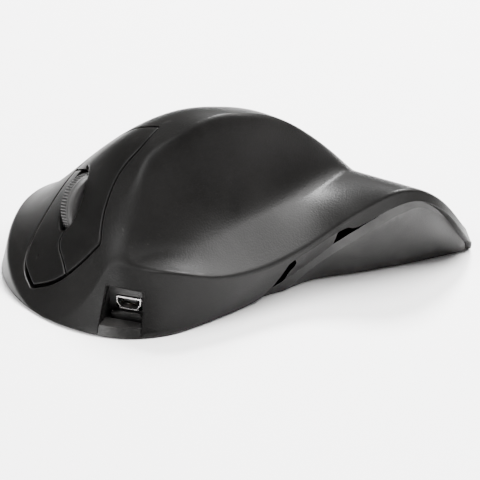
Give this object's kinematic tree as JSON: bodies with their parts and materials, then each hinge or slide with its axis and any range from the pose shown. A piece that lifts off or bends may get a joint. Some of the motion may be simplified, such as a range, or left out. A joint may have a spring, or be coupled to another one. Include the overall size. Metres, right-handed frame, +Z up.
{
  "type": "ergonomic computer mouse",
  "caption": "Right-handed hand-supporting computer mouse with a thumb wing, tilted split buttons, a ribbed scroll wheel and a recessed small USB inlet.",
  "frame": {"origin": "on the resting surface, below the middle of the box that bounds the mouse", "axes": "-Y towards the front with the buttons and the USB inlet, +X towards the thumb side, +Z up"},
  "size_m": [0.1197, 0.1416, 0.0569],
  "materials": {
    "shell_plastic": "matte black, finely grained moulding",
    "base_plastic": "matte black, finely grained moulding",
    "button_plastic": "matte black, finely grained moulding",
    "wheel_rubber": "soft black rubber with cross ribs",
    "hub_plastic": "dark moulded plastic",
    "steel": "ground steel",
    "frame_plastic": "dark grey moulded plastic",
    "encoder_plastic": "green encoder body",
    "board": "green solder mask",
    "switch_plastic": "black switch body",
    "plunger_plastic": "off-white plunger",
    "chip_plastic": "black moulded package",
    "lens": "clear moulded lens",
    "shield": "tinned shield can",
    "plug_plastic": "off-white connector",
    "can": "capacitor cans",
    "cell_wrap": "blue film wrap",
    "slider_plastic": "grey slider",
    "contact": "plated contacts",
    "foot": "low-friction pad"
  },
  "bodies": {
    "case": {"top_shell": "shell_plastic", "bottom_shell": "base_plastic", "cradle_pivot": "steel", "finger_board": "board", "finger_carrier": "frame_plastic", "index_pivot": "steel", "middle_pivot": "steel", "index_switch": "switch_plastic", "middle_switch": "switch_plastic", "wheel_switch": "switch_plastic", "main_board": "board", "sensor_chip": "chip_plastic", "sensor_lens": "lens", "controller_chip": "chip_plastic", "radio_module": "shield", "battery_plug": "plug_plastic", "board_capacitors": "can", "battery": "cell_wrap", "power_switch": "switch_plastic", "usb_shell": "steel", "usb_tongue": "chip_plastic", "usb_pins": "contact", "front_foot": "foot", "rear_foot": "foot", "thumb_foot": "foot", "outer_foot": "foot", "case_screws": "steel"},
    "left_key": {"left_button": "button_plastic"},
    "right_key": {"right_button": "button_plastic"},
    "left_pusher": {"index_plunger": "plunger_plastic"},
    "right_pusher": {"middle_plunger": "plunger_plastic"},
    "cradle": {"wheel_cradle": "frame_plastic", "wheel_encoder": "encoder_plastic"},
    "wheel": {"wheel_tyre": "wheel_rubber", "wheel_hub": "hub_plastic", "wheel_axle": "steel"},
    "wheel_pusher": {"wheel_plunger": "plunger_plastic"},
    "slider": {"power_slider": "slider_plastic"}
  },
  "joints": [
    {"name": "left_button_press", "type": "hinge", "parent": "case", "child": "left_key", "pos_m": [-0.0189, -0.02857, 0.03698], "axis": [0.9606, -0.101, 0.2588], "range_deg": [0, 1.2], "stiffness_Nm_per_rad": 0.4, "springref_deg": -1.15},
    {"name": "right_button_press", "type": "hinge", "parent": "case", "child": "right_key", "pos_m": [-0.01721, -0.0363, 0.02769], "axis": [0.9606, -0.101, 0.2588], "range_deg": [0, 2.1], "stiffness_Nm_per_rad": 0.16, "springref_deg": -2.01},
    {"name": "left_plunger_slide", "type": "slide", "parent": "case", "child": "left_pusher", "axis": [0.2408, 0.767, -0.5947], "range_m": [0, 0.0006]},
    {"name": "right_plunger_slide", "type": "slide", "parent": "case", "child": "right_pusher", "axis": [0.2408, 0.767, -0.5947], "range_m": [0, 0.0006]},
    {"name": "wheel_press", "type": "hinge", "parent": "case", "child": "cradle", "pos_m": [-0.01844, -0.03346, 0.03338], "axis": [0.9606, -0.101, 0.2588], "range_deg": [0, 1], "stiffness_Nm_per_rad": 1.2, "springref_deg": -0.86},
    {"name": "wheel_plunger_slide", "type": "slide", "parent": "case", "child": "wheel_pusher", "axis": [0.2408, 0.767, -0.5947], "range_m": [0, 0.0006]},
    {"name": "wheel_spin", "type": "hinge", "parent": "cradle", "child": "wheel", "pos_m": [-0.01663, -0.04176, 0.02341], "axis": [0.9606, -0.101, 0.2588], "continuous": true},
    {"name": "power_slide", "type": "slide", "parent": "case", "child": "slider", "axis": [1, 0, 0], "range_m": [0, 0.002]}
  ],
  "couplings": [
    {"joint": "left_plunger_slide", "follows": "left_button_press", "m_per_rad": 0.0265},
    {"joint": "right_plunger_slide", "follows": "right_button_press", "m_per_rad": 0.0143},
    {"joint": "wheel_plunger_slide", "follows": "wheel_press", "m_per_rad": 0.0278}
  ]
}
